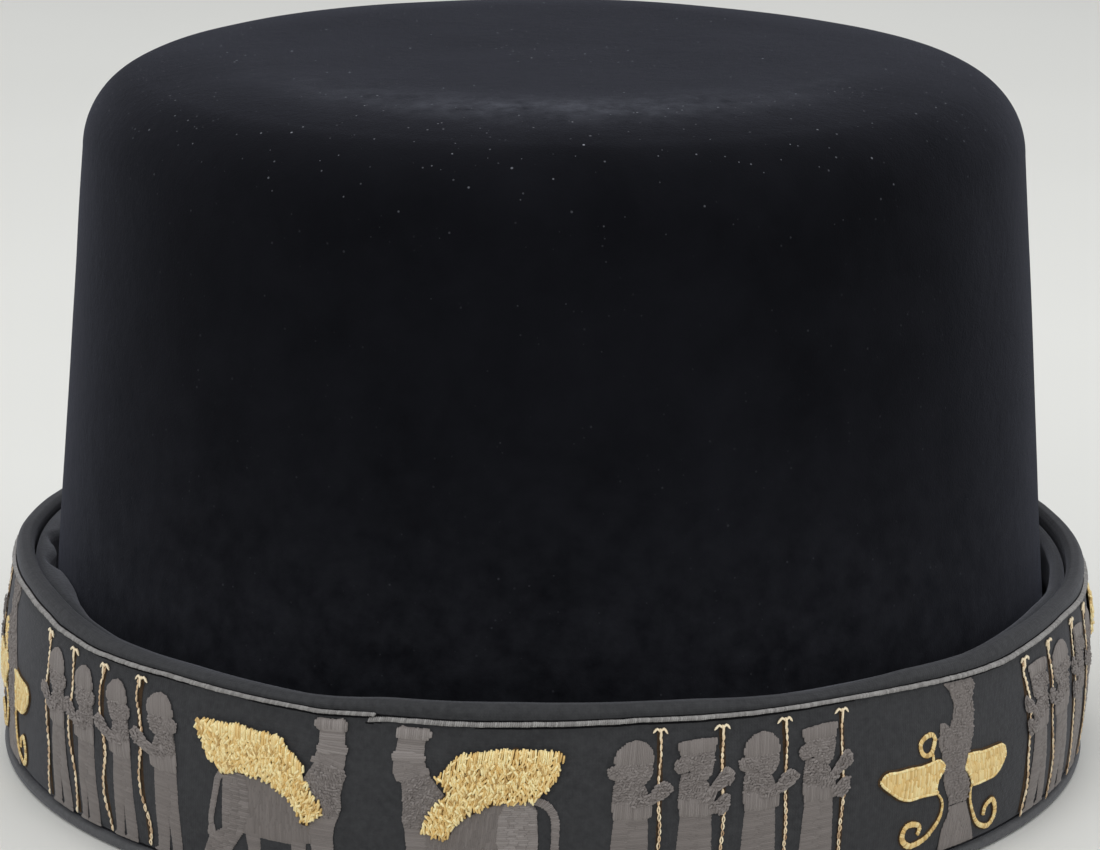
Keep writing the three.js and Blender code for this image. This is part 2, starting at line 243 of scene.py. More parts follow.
def rounded(corners, longest, times):
    """Adds points to a closed profile where two lie far apart, then cuts its corners."""
    corners = np.array(corners, dtype=float)
    points = []
    for a, b in zip(corners, np.roll(corners, -1, axis=0)):
        count = max(1, int(np.ceil(np.hypot(*(b - a)) / longest)))
        points += [a + (b - a) * i / count for i in range(count)]
    points = np.array(points)
    for _ in range(times):
        after = np.roll(points, -1, axis=0)
        pairs = np.stack([0.75 * points + 0.25 * after, 0.25 * points + 0.75 * after], 1)
        points = pairs.reshape(-1, 2)
    return points


# Materials

class Nodes:
    """A material's node tree, with short calls for the nodes that it uses."""

    def __init__(self, name):
        self.material = bpy.data.materials.new(name)
        self.material.use_nodes = True
        self.tree = self.material.node_tree
        self.shader = self.tree.nodes["Principled BSDF"]
        self.coords = self.tree.nodes.new("ShaderNodeTexCoord")

    def add(self, kind, settings=None, inputs=None):
        node = self.tree.nodes.new(kind)
        for key, value in (settings or {}).items():
            setattr(node, key, value)
        for key, value in (inputs or {}).items():
            if isinstance(value, bpy.types.NodeSocket):
                self.tree.links.new(value, node.inputs[key])
            else:
                node.inputs[key].default_value = value
        return node

    def noise(self, scale, detail, rough):
        return self.add("ShaderNodeTexNoise", inputs={
            "Vector": self.coords.outputs["Object"], "Scale": scale, "Detail": detail,
            "Roughness": rough}).outputs["Fac"]

    def ramp(self, value, low, high):
        return self.add("ShaderNodeMapRange", inputs={
            "Value": value, "From Min": low, "From Max": high}).outputs[0]

    def math(self, operation, a, b):
        return self.add("ShaderNodeMath", {"operation": operation}, {0: a, 1: b}).outputs[0]

    def times(self, a, b):
        return self.math("MULTIPLY", a, b)

    def tone(self):
        return self.add("ShaderNodeAttribute", {"attribute_name": "tone"}).outputs["Fac"]

    def mix(self, share, a, b):
        node = self.add("ShaderNodeMix", {"data_type": "RGBA"})
        for index, value in ((0, share), (6, a), (7, b)):
            if isinstance(value, bpy.types.NodeSocket):
                self.tree.links.new(value, node.inputs[index])
            elif index == 0:
                node.inputs[0].default_value = value
            else:
                node.inputs[index].default_value = (*value, 1)
        return node.outputs[2]

    def bump(self, height, strength, distance, normal=None):
        inputs = {"Height": height, "Strength": strength, "Distance": distance}
        if normal is not None:
            inputs["Normal"] = normal
        return self.add("ShaderNodeBump", inputs=inputs).outputs[0]

    def finish(self, colour, normal=None, **fixed):
        if isinstance(colour, bpy.types.NodeSocket):
            self.tree.links.new(colour, self.shader.inputs["Base Color"])
        else:
            self.shader.inputs["Base Color"].default_value = (*colour, 1)
        if normal is not None:
            self.tree.links.new(normal, self.shader.inputs["Normal"])
        for key, value in fixed.items():
            self.shader.inputs[key.replace("_", " ")].default_value = value
        return self.material


# Lint of the felt: cells in a metre, the share of cells without a speck, a speck's largest
# size in its cell, and how clearly it shows
LINT = ((300.0, 0.2, 0.06, 0.60), (700.0, 0.3, 0.15, 0.34))


def felt_material():
    n = Nodes("velvet_felt")
    nap = n.noise(70, 3, 0.6)
    cloud = n.noise(16, 3, 0.55)
    colour = n.mix(n.ramp(nap, 0.35, 0.7), (0.0034, 0.0036, 0.0050), (0.0058, 0.0061, 0.0082))
    colour = n.mix(n.times(n.ramp(cloud, 0.45, 0.75), 0.6), colour, (0.0075, 0.0078, 0.0105))
    # The nap is painted paler where the tone attribute carries painted light: a painted sheen near
    # the top's front edge and painted bounce light just above the cuff.
    streaks = n.ramp(n.noise(240, 4, 0.65), 0.25, 0.75)
    colour = n.mix(n.times(n.times(n.tone(), streaks), 0.5), colour, (0.10, 0.105, 0.125))
    # Lint: small pale specks of two sizes, of which most settle on the top
    height = n.add("ShaderNodeSeparateXYZ", inputs={
        "Vector": n.coords.outputs["Object"]}).outputs[2]
    settled = n.ramp(n.times(height, 8.0), 0.84, 0.97)
    settled = n.math("ADD", n.times(settled, 0.9), 0.1)
    specks = None
    for scale, share, size, strength in LINT:
        cells = n.add("ShaderNodeTexVoronoi", inputs={
            "Vector": n.coords.outputs["Object"], "Scale": scale})
        parts = n.add("ShaderNodeSeparateColor", inputs={"Color": cells.outputs["Color"]})
        chosen = n.math("GREATER_THAN", parts.outputs[0], share)
        near = n.math("LESS_THAN", cells.outputs["Distance"], n.times(parts.outputs[1], size))
        faint = n.times(n.times(near, chosen), n.times(parts.outputs[2], strength))
        specks = faint if specks is None else n.math("ADD", specks, faint)
    colour = n.mix(n.times(specks, settled), colour, (0.50, 0.52, 0.58))
    fuzz = n.noise(2600, 3, 0.7)
    tuft = n.noise(420, 3, 0.6)
    normal = n.bump(fuzz, 0.3, 0.0003, n.bump(tuft, 0.16, 0.0005))
    return n.finish(colour, normal, Roughness=1.0, Specular_IOR_Level=0.05,
                    Sheen_Weight=0.098, Sheen_Roughness=0.36, Sheen_Tint=(0.74, 0.78, 1.0, 1))


def cloth_material(name, dark, light, sheen):
    n = Nodes(name)
    slub = n.noise(900, 3, 0.6)
    cloud = n.noise(90, 3, 0.6)
    colour = n.mix(n.ramp(slub, 0.3, 0.72), dark, light)
    colour = n.mix(n.times(n.ramp(cloud, 0.35, 0.7), 0.35), colour, light)
    warp, weft = [n.add("ShaderNodeTexWave", {"bands_direction": way}, {
        "Vector": n.coords.outputs["UV"], "Scale": 0.62, "Distortion": 0.6,
        "Detail": 1.0}).outputs["Fac"] for way in "XY"]
    grain = n.bump(n.noise(1500, 3, 0.65), 0.3, 0.0003)
    normal = n.bump(n.times(warp, weft), 0.25, 0.00012, grain)
    return n.finish(colour, normal, Roughness=0.88, Specular_IOR_Level=0.25,
                    Sheen_Weight=sheen, Sheen_Roughness=0.4,
                    Sheen_Tint=(0.85, 0.87, 1.0, 1))


def thread_material(name, dark, middle, light, roughness, metallic, specular, sheen=0.0):
    n = Nodes(name)
    tone = n.tone()
    colour = n.mix(n.ramp(tone, 0.0, 0.5), dark, middle)
    colour = n.mix(n.ramp(tone, 0.5, 1.0), colour, light)
    normal = n.bump(n.noise(5200, 2, 0.6), 0.4, 0.00012)
    return n.finish(colour, normal, Roughness=roughness, Metallic=metallic,
                    Specular_IOR_Level=specular, Sheen_Weight=sheen, Sheen_Roughness=0.4)


felt = felt_material()
panel_cloth = cloth_material("panel_cloth", (0.027, 0.0275, 0.030), (0.044, 0.045, 0.048), 0.12)
binding_cloth = cloth_material("binding_cloth", (0.028, 0.0285, 0.031),
                               (0.046, 0.047, 0.050), 0.14)
facing_cloth = cloth_material("facing_cloth", (0.030, 0.031, 0.035),
                              (0.050, 0.052, 0.058), 0.25)
welt_cloth = cloth_material("welt_cloth", (0.070, 0.071, 0.074), (0.100, 0.101, 0.105), 0.18)
cord_thread = thread_material("cord_thread", (0.13, 0.125, 0.12), (0.25, 0.24, 0.235),
                              (0.40, 0.39, 0.38), 0.6, 0.0, 0.35, 0.1)
grey_thread = thread_material("grey_thread", (0.12, 0.105, 0.098), (0.205, 0.182, 0.172),
                              (0.30, 0.272, 0.26), 0.62, 0.0, 0.3, 0.1)
gold_thread = thread_material("gold_thread", (0.24, 0.12, 0.035), (0.84, 0.58, 0.21),
                              (1.0, 0.88, 0.50), 0.38, 0.2, 0.7)
pale_gold_thread = thread_material("pale_gold_thread", (0.28, 0.15, 0.07), (0.82, 0.61, 0.38),
                                   (1.0, 0.88, 0.64), 0.4, 0.1, 0.6)
# Near-black thread for the painted shadow lines along the cord
painted_shadow_thread = thread_material("painted_shadow_thread", (0.004, 0.004, 0.005), (0.010, 0.010, 0.011),
                              (0.02, 0.02, 0.022), 0.9, 0.0, 0.1)
brown_ground = thread_material("brown_ground", (0.022, 0.012, 0.006), (0.05, 0.028, 0.012),
                               (0.09, 0.055, 0.025), 0.7, 0.0, 0.2)


# The crown: felt with a soft nap, slightly uneven, its top a low soft pillow. The top starts
# to fall at the plateau's edge, and meets the round shoulder where that has turned so far.

PLATEAU = 48.3
TOP_EDGE = math.radians(77)


def top_height(r):
    edge = FLAT_TOP + SHOULDER * math.cos(TOP_EDGE)
    fall = CROWN_HEIGHT - SIDE_HEIGHT - SHOULDER * math.sin(TOP_EDGE)
    away = np.clip((r - PLATEAU) / (edge - PLATEAU), 0, 1)
    dish = 0.5 * np.clip(1 - (r / PLATEAU) ** 2, 0, 1)
    return CROWN_HEIGHT - fall * away ** 1.96 - dish


def build_crown():
    side = np.linspace(0, 1, 64)
    bend = np.linspace(0, TOP_EDGE, 24)[1:]
    top = (FLAT_TOP + SHOULDER * math.cos(TOP_EDGE)) * np.linspace(1, 0.004, 44)[1:]
    outer = [(CROWN_HALF_WIDTH - 0.9, 0.0), (CROWN_HALF_WIDTH - 0.25, 0.25)]
    outer += [(crown_at(z), z) for z in 0.9 + side * (SIDE_HEIGHT - 0.9)]
    outer += [(FLAT_TOP + SHOULDER * np.cos(b), SIDE_HEIGHT + SHOULDER * np.sin(b)) for b in bend]
    outer += [(r, top_height(r)) for r in top]
    radius = SHOULDER - FELT_WALL
    inner = [(FLAT_TOP * t, top_height(FLAT_TOP * t) - FELT_WALL)
             for t in np.linspace(0.004, 1, 10)[:-1]]
    inner += [(FLAT_TOP + radius * np.sin(b), SIDE_HEIGHT + radius * np.cos(b))
              for b in np.linspace(0, np.pi / 2, 10)]
    inner += [(crown_at(z) - FELT_WALL, z) for z in np.linspace(SIDE_HEIGHT, 0.6, 12)[1:]]
    inner += [(CROWN_HALF_WIDTH - FELT_WALL + 0.5, 0.0)]
    profile = np.array(inner + outer)
    outside = np.arange(len(profile)) >= len(inner) + 2
    around = CROWN_SEGMENTS
    r, z, angle = swept(profile, around)
    points = oval_point(r, z, angle).reshape(-1, 3)
    uneven = 0.30 * soft(points, 42.0, 1) + 0.08 * soft(points, 16.0, 2)
    uneven = np.where(np.repeat(outside, around), uneven, 0).reshape(r.shape)
    fade = np.clip(z / 20, 0, 1)
    up = np.clip((z - SIDE_HEIGHT) / SHOULDER, 0, 1)
    r = r + uneven * fade * (1 - up)
    z = z + uneven * up
    points = oval_point(r, z, angle).reshape(-1, 3)
    # Painted light in the tone attribute: a painted sheen where the top begins to fall towards the
    # front, and a little painted bounce light just above the cuff.
    painted_sheen_and_bounce = np.exp(-((r - 56) / 6.5) ** 2 - (angle / 0.8) ** 2).ravel()
    painted_sheen_and_bounce = np.where(points[:, 2] > SIDE_HEIGHT, painted_sheen_and_bounce, 0)
    painted_sheen_and_bounce = painted_sheen_and_bounce + 0.42 * np.exp(-(points[:, 2] / 46) ** 2)
    faces = grid_faces(len(profile), around, False, True).tolist()
    faces.append(list(range(around))[::-1])
    faces.append(list(range(len(points) - around, len(points))))
    faces = [list(reversed(face)) for face in faces]
    return add_mesh("felt_crown", points, faces, felt, ["crown"], tone=painted_sheen_and_bounce)


# The cuff's cloth pieces

def build_panel():
    tongue = BINDING_WALL + GAP
    foot = WELT_HEIGHT + GAP
    shoulder = CORD_HEIGHT - GAP
    top = RIM_TOP - BINDING_WALL - GAP
    heights = foot + (shoulder - foot) * np.linspace(0, 1, 52) ** 1.4
    outer = [(face_at(z) - 0.75 * math.exp(-(z - foot) / 0.55), z) for z in heights]
    inner = [(face_at(z) - PANEL_WALL - (PANEL_INSIDE - PANEL_WALL) * z / RIM_TOP, z)
             for z in heights[::-6]]
    step = [(face_at(shoulder) - tongue, shoulder), (face_at(top) - tongue, top),
            (face_at(top) - PANEL_INSIDE, top)]

    def shape(r, z, angle, points):
        out = 0.16 * soft(points, 24.0, 3).reshape(r.shape)
        return r + out * np.clip((z - 2.0) / 6, 0, 1), z

    ring_piece("panel_cloth", outer + step + inner, panel_cloth,
               ["cuff_panel"], shape=shape)


def build_binding():
    outer_foot = CORD_HEIGHT + 0.2
    inner_foot = RIM_TOP - BINDING_LEG
    back = LEG_INSIDE + BINDING_WALL
    slot = RIM_TOP - BINDING_WALL
    face = face_at(RIM_TOP)
    corners = [
        (face - 0.75 * BINDING_WALL, outer_foot), (face, outer_foot),
        (face + 0.15, outer_foot + 1.2), (face - 0.05, RIM_TOP - 0.7),
        (face - 0.75, RIM_TOP + 0.1), (face - back + 0.75, RIM_TOP + 0.1),
        (face - back + 0.05, RIM_TOP - 0.8), (face - back, RIM_TOP - 2),
        (face_at(inner_foot) - back, inner_foot),
        (face_at(inner_foot) - LEG_INSIDE, inner_foot),
        (face_at(CORD_HEIGHT) - LEG_INSIDE, CORD_HEIGHT),
        (face - LEG_INSIDE, slot), (face - 0.75 * BINDING_WALL, slot)]

    def shape(r, z, angle, points):
        out = 0.22 * soft(points, 17.0, 5) + 0.07 * soft(points, 4.0, 6)
        rise = 0.30 * soft(points, 26.0, 7)
        high = np.clip((z - CORD_HEIGHT - 0.6) / 2.5, 0, 1)
        return r + out.reshape(r.shape) * high, z + rise.reshape(r.shape) * high

    ring_piece("binding_fold", rounded(corners, 1.2, 2), binding_cloth,
               ["rim_binding"], shape=shape)


# Puckers of the inner facing: place and width in degrees, and how far the cloth is
# pressed in, in millimetres
PUCKERS = [(-113, 4.5, 0.35), (-88, 2.8, 1.7), (-79, 2.8, 1.9), (-70, 4, -0.25), (-60, 5, 0.3),
           (84, 8, -0.2), (104, 5, 0.2), (118, 7, -0.2), (136, 5, 0.35), (158, 7, -0.3),
           (178, 5, 0.3), (199, 7, -0.3)]


def build_facing():
    foot = WEB_THICKNESS + GAP
    leg = RIM_TOP - BINDING_LEG
    top = RIM_TOP - 0.5 * RIM_ABOVE_CORD
    below = leg - 2 * GAP
    half = 0.5 * RIDGE_THICKNESS

    def back(z):
        return face_at(z) - (RIDGE_INSIDE if z > leg - GAP else LEG_INSIDE)

    middle = 0.5 * (foot + below)
    corners = [
        (back(foot), foot), (back(middle), middle), (back(below), below),
        (face_at(below) - RIDGE_INSIDE, below), (back(top) - 0.05 * half, top - 0.7 * half),
        (back(top) - 0.6 * half, top), (back(top) - 1.4 * half, top - 0.1 * half),
        (back(top) - 2 * half, top - 0.9 * half), (back(top) - 1.95 * half, top - 1.9 * half),
        (back(top) - 0.5 * (RIDGE_THICKNESS + FACING_WALL), top - RIDGE_DEPTH),
        (back(middle) - FACING_WALL, middle), (back(foot) - FACING_WALL, foot)]

    def shape(r, z, angle, points):
        degrees = np.degrees(angle)
        press = np.zeros_like(r)
        for at, width, depth in PUCKERS:
            away = (degrees - at + 540) % 360 - 180
            slant = away + 0.5 * (z - top)
            press += depth * np.exp(-(slant / width) ** 2)
        crumple = (0.28 * soft(points, 5.5, 8) + 0.14 * soft(points, 2.4, 9)).reshape(r.shape)
        left = 0.45 + 0.55 * np.exp(-((degrees + 85) / 32) ** 2)
        high = np.clip((z - 0.45 * CORD_HEIGHT) / 6, 0, 1)
        inward = np.clip((back(top) - 0.25 * RIDGE_THICKNESS - r) / half, 0, 1)
        clear = crown_at(z) + 0.35
        stuffed = 1.5 * np.exp(-((degrees + 86) / 22) ** 4)
        moved = r + (press - stuffed + crumple * left) * inward * high
        return np.maximum(moved, np.minimum(r, clear)), z + crumple * left * high * 0.8 * inward

    facing = ring_piece("puffed_facing", rounded(corners, 1.6, 2), facing_cloth,
                        ["inner_facing"], FACING_SEGMENTS, shape)


def build_welt():
    half = 0.5 * WELT_HEIGHT
    middle = FOOT_HALF_WIDTH - 0.2 * half
    inner = CROWN_HALF_WIDTH + GAP
    corners = [
        (inner, 0.0), (middle - 2, 0.0), (middle, 0.0), (middle + 0.85 * half, 0.35 * half),
        (middle + 1.05 * half, half), (middle + 0.7 * half, 1.75 * half),
        (middle - 0.1 * half, WELT_HEIGHT), (middle - 0.9 * half, 1.6 * half),
        (middle - 1.4 * half, WEB_THICKNESS), (inner, WEB_THICKNESS)]
    profile = rounded(corners, 0.5, 1)
    profile[:, 1] = np.maximum(profile[:, 1], 0)
    ring_piece("lower_welt", profile, welt_cloth, ["base_welt"])


# Stitches: each is a small raised thread that lies on the panel. Along it are four places
# with their share of its width and height, and across it four more on a low arch.

STATIONS = np.array([0, 0.16, 0.84, 1])
WIDTHS = np.array([0.6, 1, 1, 0.6])
RISES = np.array([0.2, 1, 1, 0.2])
ACROSS = np.array([-1, -0.45, 0.45, 1])
ARCH = np.array([0, 0.88, 0.88, 0])

# The embroidery leans a little where the cuff curves away at the two sides: place along
# the band, then how far the stitches are moved along it near its top, middle and foot
LEANING = np.array([
    (-170, 0, 0, 0), (-140, -5.0, 2.5, 0), (-131, -6.0, 5.6, 1.2), (-112, -4.5, 0.5, 0),
    (-105, -4.3, -1.6, -0.6), (-100.5, -4.5, -1.1, 0.3), (-94.7, -3.9, -2.2, 0.6),
    (-90.2, -3.4, -0.6, -0.4), (-84, -3.9, -1.6, 0.6), (-79.6, -3.4, 0.2, 0.6),
    (-73.7, -3.3, -1.3, 1.0), (-69.2, -1.8, 1.2, 2.2), (-58, 0, 0.2, 0.6), (-50, 0, 0, 0),
    (5, 0, 0, 0), (13, 0.7, 0.7, 0.7), (24, 0, 0.2, 0.2), (50, 0.2, 0.2, 0.2),
    (64, 0.3, 1.3, 1.3), (90, 0.3, 1.4, 1.2), (104, -5.8, -4.0, -4.6),
    (109, -3.0, -3.0, -2.0), (115, -5.6, -4.4, -2.6), (120, -3.4, -3.2, -1.4), (140, 0, 0, 0)])


def leaning(along, z):
    rows = [np.interp(along, LEANING[:, 0], LEANING[:, i]) for i in (3, 2, 1)]
    low = rows[0] + (rows[1] - rows[0]) * np.clip((z - 5) / 12, 0, 1)
    return along + low + (rows[2] - rows[1]) * np.clip((z - 17) / 10, 0, 1)


def varied(value, least=0.85, more=0.3):
    return value * (least + more * rng.random())


def either_way(amount):
    return amount * (rng.random() - 0.5) * 2


class Stitching:
    """Stitches in a figure's own plane: x along the band, z up it, both in millimetres."""

    def __init__(self):
        self.rows = []
        self.tubes = []
        self.slim = 1.0

    def stitch(self, x0, z0, x1, z1, half, base, height, tone):
        self.rows.append((x0, z0, x1, z1, half, base, height, tone))

    def fill(self, outline, degrees, pitch=0.3, length=2.4, base=0.05, height=0.2, tone=0.5,
             ragged=0.1, half=None, spread=0.1, lean=0.0):
        """Fills an outline with rows of stitches that run in one direction."""
        turn = math.radians(degrees)
        c, s = math.cos(turn), math.sin(turn)
        outline = np.asarray(outline, dtype=float)
        u = outline[:, 0] * c + outline[:, 1] * s
        v = -outline[:, 0] * s + outline[:, 1] * c
        u2 = np.roll(u, -1)
        v2 = np.roll(v, -1)
        row = v.min() + 0.4 * pitch
        half = half or 0.85 * pitch
        while row < v.max():
            crossing = (v <= row) != (v2 <= row)
            cuts = np.sort((u + (row - v) / np.where(v2 == v, 1, v2 - v) * (u2 - u))[crossing])
            for a, b in zip(cuts[0::2], cuts[1::2]):
                a -= ragged * rng.random()
                b += ragged * rng.random()
                count = max(1, int(round((b - a) / length)))
                marks = np.linspace(a, b, count + 1)
                marks[1:-1] += (rng.random(count - 1) - 0.5) * length * 0.7
                for m0, m1 in zip(marks[:-1], marks[1:]):
                    w0 = row + lean * (rng.random() - 0.5)
                    w1 = row + lean * (rng.random() - 0.5)
                    m0 -= 0.12
                    m1 += 0.12
                    self.stitch(m0 * c - w0 * s, m0 * s + w0 * c, m1 * c - w1 * s,
                                m1 * s + w1 * c, varied(half), base + 0.06 * rng.random(),
                                varied(height), tone + either_way(spread))
            row += pitch

    def seed(self, outline, degrees, swing, size, pitch, rise, base, height, half, tone,
             spread, leave=None, fan=None):
        """Covers an outline with short raised stitches that lie this way and that."""
        low = np.min(outline, axis=0)
        high = np.max(outline, axis=0)
        z = low[1] - 0.1
        while z < high[1] + 0.2:
            x = low[0] - pitch * rng.random()
            while x < high[0] + 0.2:
                px = x + 0.5 * pitch * (rng.random() - 0.5)
                pz = z + 0.6 * rise * (rng.random() - 0.5)
                if inside(outline, px, pz) and not (leave and inside(leave, px, pz)):
                    turn = fan(px, pz) if fan else degrees
                    turn = math.radians(turn + either_way(swing))
                    reach = varied(0.5 * size, 0.75, 0.5)
                    dx, dz = reach * math.cos(turn), reach * math.sin(turn)
                    self.stitch(px - dx, pz - dz, px + dx, pz + dz, varied(half),
                                base + 0.25 * rng.random(), varied(height, 0.8, 0.4),
                                tone + either_way(spread))
                x += pitch
            z += rise

    def satin(self, path, widths, pitch, base=0.08, height=0.3, tone=0.6, slant=0.25,
              half=None, spread=0.15):
        """Covers a line with short stitches across it."""
        path = curve_through(path, 0.05)
        run = np.concatenate([[0], np.cumsum(np.hypot(*np.diff(path, axis=0).T))])
        for at in np.arange(0, run[-1], pitch):
            i = min(len(path) - 2, int(np.searchsorted(run, at)))
            d = path[i + 1] - path[i]
            d = d / np.hypot(*d)
            n = np.array([-d[1], d[0]]) + slant * d
            w = 0.5 * np.interp(at / run[-1], np.linspace(0, 1, len(widths)), widths)
            w *= 0.9 + 0.2 * rng.random()
            a = path[i] - n * w
            b = path[i] + n * w
            self.stitch(a[0], a[1], b[0], b[1], half or 0.75 * pitch, base,
                        varied(height), tone + either_way(spread))

    def tube(self, path, radius, tone, sides=5):
        self.tubes.append((np.asarray(path, dtype=float), radius, tone, sides))

    def build(self, name, centre, side, material, nodes, lean=True):
        points, faces, tones = [], [], []
        total = 0

        def lay(x, z, out):
            along = centre + side * x * self.slim
            if lean:
                along = leaning(along, z)
            points.append(on_panel(along, z, out).reshape(-1, 3))

        if self.rows:
            data = np.array(self.rows)
            start = data[:, 0:2]
            along = data[:, 2:4] - start
            length = np.maximum(np.hypot(along[:, 0], along[:, 1]), 1e-6)
            across = np.stack([-along[:, 1], along[:, 0]], -1) / length[:, None]
            grid = start[:, None, None, :] + STATIONS[None, :, None, None] * along[:, None, None, :]
            wide = data[:, 4][:, None, None] * WIDTHS[None, :, None] * ACROSS[None, None, :]
            grid = grid + wide[..., None] * across[:, None, None, :]
            out = data[:, 5][:, None, None] + (
                data[:, 6][:, None, None] * RISES[None, :, None] * ARCH[None, None, :])
            lay(grid[..., 0], grid[..., 1], out)
            each = len(STATIONS) * len(ACROSS)
            one = grid_faces(len(STATIONS), len(ACROSS), False, False)
            if side > 0:
                one = one[:, ::-1]
            many = one[None] + np.arange(len(data))[:, None, None] * each
            faces.append(many.reshape(-1, 4))
            tones.append(np.repeat(data[:, 7], each))
            total += each * len(data)
        for path, radius, tone, sides in self.tubes:
            count = len(path)
            ahead = np.roll(path, -1, axis=0)
            behind = np.roll(path, 1, axis=0)
            open_ends = np.abs(path[0] - path[-1]).sum() > 1e-6
            ahead[-1] = path[-1] if open_ends else path[1]
            behind[0] = path[0] if open_ends else path[-2]
            d = ahead - behind
            d = d / np.maximum(np.linalg.norm(d, axis=1), 1e-9)[:, None]
            n = np.cross(np.array([0, 0, 1.0]), d)
            n = n / np.maximum(np.linalg.norm(n, axis=1), 1e-9)[:, None]
            m = np.cross(d, n)
            turn = np.linspace(0, 2 * np.pi, sides, endpoint=False)
            size = np.full(count, radius)
            if open_ends:
                size[0] = size[-1] = 0.35 * radius
            ring = (np.cos(turn)[None, :, None] * n[:, None, :]
                    + np.sin(turn)[None, :, None] * m[:, None, :]) * size[:, None, None]
            local = path[:, None, :] + ring
            lay(local[..., 0], local[..., 1], np.maximum(local[..., 2], 0))
            loop = grid_faces(count, sides, False, True)
            if side > 0:
                loop = loop[:, ::-1]
            faces.append(loop + total)
            tones.append(np.full(count * sides, tone))
            total += count * sides
        return add_mesh(name, np.concatenate(points), np.concatenate(faces).tolist(),
                        material, nodes, tone=np.clip(np.concatenate(tones), 0, 1))


def curve_through(points, step):
    """A smooth line through points, as many short steps."""
    points = np.asarray(points, dtype=float)
    padded = np.vstack([2 * points[0] - points[1], points, 2 * points[-1] - points[-2]])
    result = []
    for p0, p1, p2, p3 in zip(padded[:-3], padded[1:-2], padded[2:-1], padded[3:]):
        count = max(2, int(np.linalg.norm(p2 - p1) / step))
        for t in np.arange(count) / count:
            result.append(0.5 * (2 * p1 + (p2 - p0) * t + (2 * p0 - 5 * p1 + 4 * p2 - p3) * t ** 2
                                 + (3 * p1 - p0 - 3 * p2 + p3) * t ** 3))
    result.append(points[-1])
    return np.array(result)


def inside(outline, x, z):
    outline = np.asarray(outline)
    x1, z1 = outline[:, 0], outline[:, 1]
    x2, z2 = np.roll(x1, -1), np.roll(z1, -1)
    crossing = (z1 > z) != (z2 > z)
    at = x1 + (z - z1) / np.where(z2 == z1, 1, z2 - z1) * (x2 - x1)
    return bool(np.sum(crossing & (x < at)) % 2)


# The frieze's figures, each drawn as plain outlines in millimetres: x forward from the
# figure's middle, z up from the cap's lower edge

ROUND_CAP = [(-2.6, 24.9), (-2.85, 25.9), (-2.4, 27.2), (-1.1, 28.3), (0.5, 28.7), (2.1, 28.2),
             (3.2, 27.1), (3.4, 25.8), (3.1, 24.9)]
FLAT_CAP = [(-3.2, 28.0), (-2.7, 26.3), (3.2, 26.5), (3.5, 28.4), (1.0, 28.5)]
ROUND_BUN = [(-3.6, 23.4), (-3.7, 24.5), (-2.8, 25.0), (-0.8, 24.9), (-0.3, 23.9),
             (-1.4, 23.0), (-2.8, 22.9)]
FLAT_BUN = [(-3.7, 24.2), (-3.6, 25.2), (-2.6, 25.7), (-0.9, 25.6), (-0.8, 24.4),
            (-2.0, 23.5), (-3.1, 23.5)]
ROUND_HEAD = [(-1.4, 25.2), (3.1, 25.2), (3.2, 23.8), (2.7, 22.7), (1.9, 22.0), (1.0, 22.0),
              (0.0, 22.6), (-1.0, 23.6)]
FLAT_HEAD = [(-2.5, 26.5), (3.0, 26.5), (2.9, 24.6), (2.5, 22.9), (1.7, 22.2), (0.7, 22.3),
             (-0.5, 23.3), (-2.1, 24.5)]
BREAST = [(-2.4, 23.2), (-0.4, 23.3), (0.9, 22.1), (1.8, 21.7), (2.4, 20.5), (2.5, 18.9),
          (-2.9, 18.9), (-2.8, 21.4)]
ARM = [(0.0, 20.2), (1.6, 19.9), (3.0, 20.5), (4.0, 21.7), (4.9, 22.3), (5.9, 22.0),
       (6.9, 21.1), (5.9, 20.1), (4.8, 19.5), (3.2, 18.8), (1.4, 18.3), (0.0, 18.6)]
HIGH_ARM = [(0.2, 20.3), (1.8, 20.2), (3.0, 21.4), (4.2, 23.2), (5.2, 23.9), (6.2, 23.2),
            (6.3, 21.9), (5.3, 21.1), (4.2, 20.8), (2.8, 19.2), (0.4, 18.6)]
LOW_HAND = [(2.0, 18.6), (3.2, 18.5), (4.6, 19.6), (5.6, 19.4), (5.6, 17.7), (4.5, 16.5),
            (3.4, 16.9), (2.4, 17.7)]
CAPE = [(-3.0, 19.4), (3.1, 19.4), (3.2, 16.9), (1.6, 16.4), (-2.8, 16.7)]
ROBE = [(-2.5, 16.9), (2.5, 16.7), (2.7, 12.6), (2.9, 8.9), (0.35, 8.9), (0.1, 8.9),
        (-3.0, 8.9), (-2.8, 13.1)]
BACK_LEG = [(-3.0, 9.1), (0.15, 9.1), (-0.05, 6.0), (-0.3, 3.2), (-3.3, 3.2), (-3.2, 6.3)]
FRONT_LEG = [(0.3, 9.1), (2.9, 9.1), (3.05, 5.8), (3.2, 3.2), (0.9, 3.2), (0.55, 6.0)]
BACK_SHOE = [(-3.3, 3.3), (-0.3, 3.3), (0.5, 2.6), (-3.4, 2.6)]
FRONT_SHOE = [(0.8, 3.3), (3.2, 3.3), (4.2, 2.6), (0.7, 2.6)]

BEAST_CROWN = [(4.1, 29.8), (4.5, 30.5), (5.2, 30.9), (6.2, 30.7), (8.5, 30.7), (9.4, 30.8),
               (10.0, 30.1), (9.8, 29.4), (9.2, 29.0), (8.5, 29.2), (5.2, 29.1), (4.5, 29.0)]
BEAST_HAT = [(4.7, 29.2), (9.0, 29.2), (8.8, 26.4), (4.5, 26.5)]
BEAST_BAND = [(3.8, 26.2), (4.3, 26.9), (8.7, 26.9), (9.3, 26.2), (8.9, 25.4), (4.1, 25.4)]
BEAST_HEAD = [(4.2, 25.6), (8.9, 25.7), (9.3, 25.2), (9.5, 23.7), (8.7, 22.8), (6.6, 22.0),
              (5.0, 22.2), (4.3, 23.4)]
BEAST_EAR = [(8.7, 24.9), (9.9, 24.4), (10.1, 23.7), (8.8, 23.4)]

